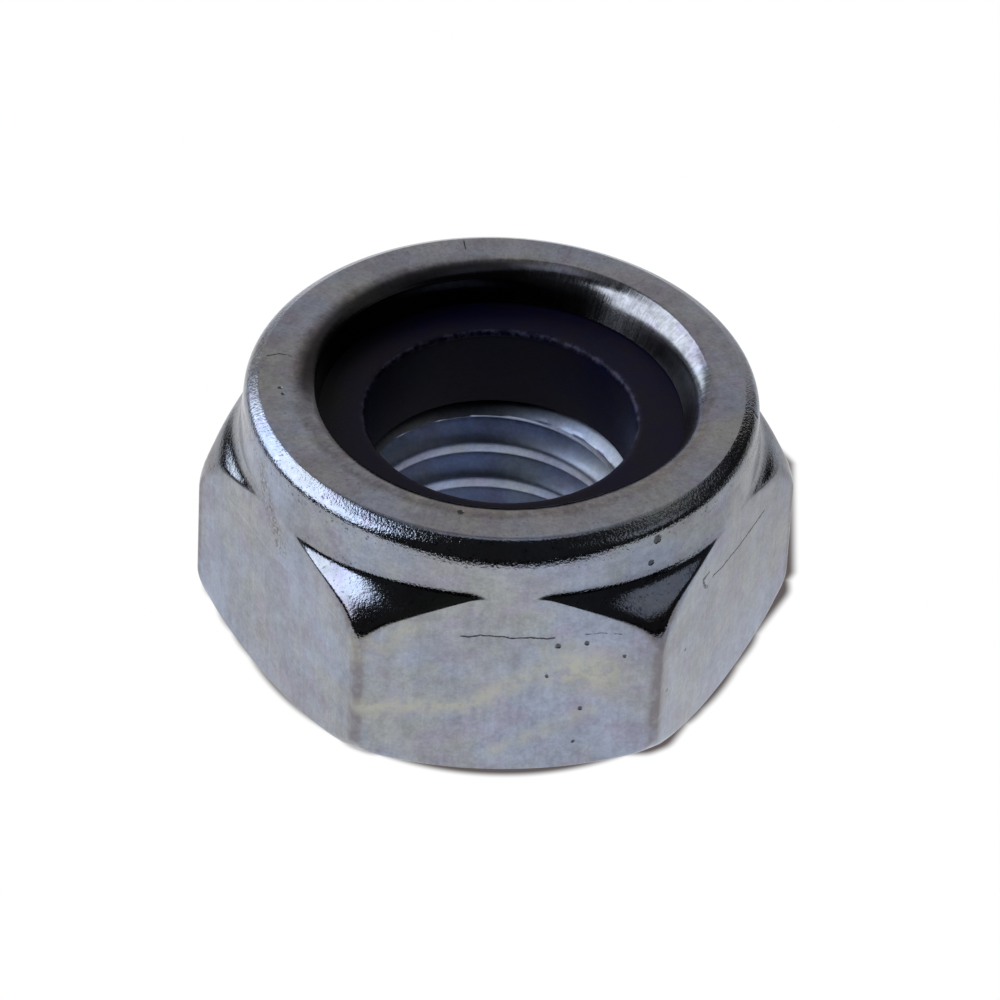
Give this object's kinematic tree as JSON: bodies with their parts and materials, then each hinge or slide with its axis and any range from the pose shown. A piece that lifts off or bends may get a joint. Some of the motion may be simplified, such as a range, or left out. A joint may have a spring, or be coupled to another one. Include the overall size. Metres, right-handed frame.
{
  "type": "nylon insert lock nut",
  "caption": "Hexagon lock nut with a thin rolled collar that holds a nylon ring above the thread, so the nut grips its bolt and can't shake loose.",
  "frame": {"origin": "centre of the bearing face, on the thread's axis", "axes": "+Z along the thread towards the rolled end; one flat of the hexagon faces -Y and two of its corners lie on the X axis"},
  "size_m": [0.0196, 0.017, 0.0094],
  "materials": {
    "zinc_plated_steel": "bright zinc plate with a blue and faintly yellow passivation tint, hairline cracks and small pits",
    "navy_nylon": "dark navy nylon with a soft sheen"
  },
  "bodies": {
    "root": {"nut_body": "zinc_plated_steel", "nylon_ring": "navy_nylon"}
  },
  "joints": []
}
